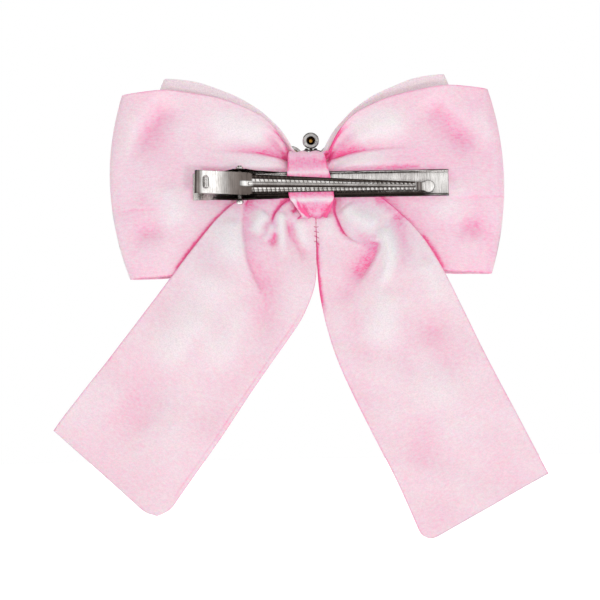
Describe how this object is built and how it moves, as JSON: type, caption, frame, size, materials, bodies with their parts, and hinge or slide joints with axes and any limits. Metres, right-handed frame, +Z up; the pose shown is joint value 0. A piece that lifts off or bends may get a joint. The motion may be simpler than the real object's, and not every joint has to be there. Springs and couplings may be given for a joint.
{
  "type": "bow hair clip",
  "caption": "Satin double bow with two long ribbon tails and a stone-set ornament, worn on a sprung toothed alligator clip.",
  "frame": {"origin": "on the base jaw's gripping face, on the clip's centre line, at the middle of the knot", "axes": "+X along the clip towards its tip, +Z up as worn with the tails hanging down, +Y away from the hair towards the ornament"},
  "size_m": [0.145, 0.0291, 0.1402],
  "materials": {
    "clip_steel": "bright nickel plate with fine brush marks",
    "pin_steel": "polished nickel",
    "spring_steel": "plain spring steel",
    "pink_satin": "pale pink satin with a soft sheen",
    "thread": "matte sewing thread",
    "glue": "milky set glue",
    "antique_metal": "darkened silver",
    "cup_metal": "bright silver",
    "crystal": "cut stone with a bronze foil back"
  },
  "bodies": {
    "bow": {"base_jaw": "clip_steel", "hinge_pin": "pin_steel", "leaf_spring": "spring_steel", "back_bow_band": "pink_satin", "front_bow_band": "pink_satin", "left_tail": "pink_satin", "right_tail": "pink_satin", "knot_band": "pink_satin", "gather_thread": "thread", "clip_glue": "glue", "ornament_glue": "glue", "filigree_frame": "antique_metal", "centre_cup": "cup_metal", "centre_stone": "crystal", "round_cup_1": "cup_metal", "round_cup_2": "cup_metal", "round_cup_3": "cup_metal", "round_cup_4": "cup_metal", "round_cup_5": "cup_metal", "round_cup_6": "cup_metal", "round_stone_1": "crystal", "round_stone_2": "crystal", "round_stone_3": "crystal", "round_stone_4": "crystal", "round_stone_5": "crystal", "round_stone_6": "crystal", "leaf_cup_1": "cup_metal", "leaf_cup_2": "cup_metal", "leaf_cup_3": "cup_metal", "leaf_cup_4": "cup_metal", "leaf_cup_5": "cup_metal", "leaf_cup_6": "cup_metal", "leaf_stone_1": "crystal", "leaf_stone_2": "crystal", "leaf_stone_3": "crystal", "leaf_stone_4": "crystal", "leaf_stone_5": "crystal", "leaf_stone_6": "crystal"},
    "jaw": {"top_jaw": "clip_steel"}
  },
  "joints": [
    {"name": "jaw_open", "type": "hinge", "parent": "bow", "child": "jaw", "pos_m": [-0.0206, -0.0026, 0], "axis": [0, 0, -1], "range_deg": [0, 25], "stiffness_Nm_per_rad": 0.23, "springref_deg": -37.24, "deforming": ["leaf_spring"]}
  ]
}
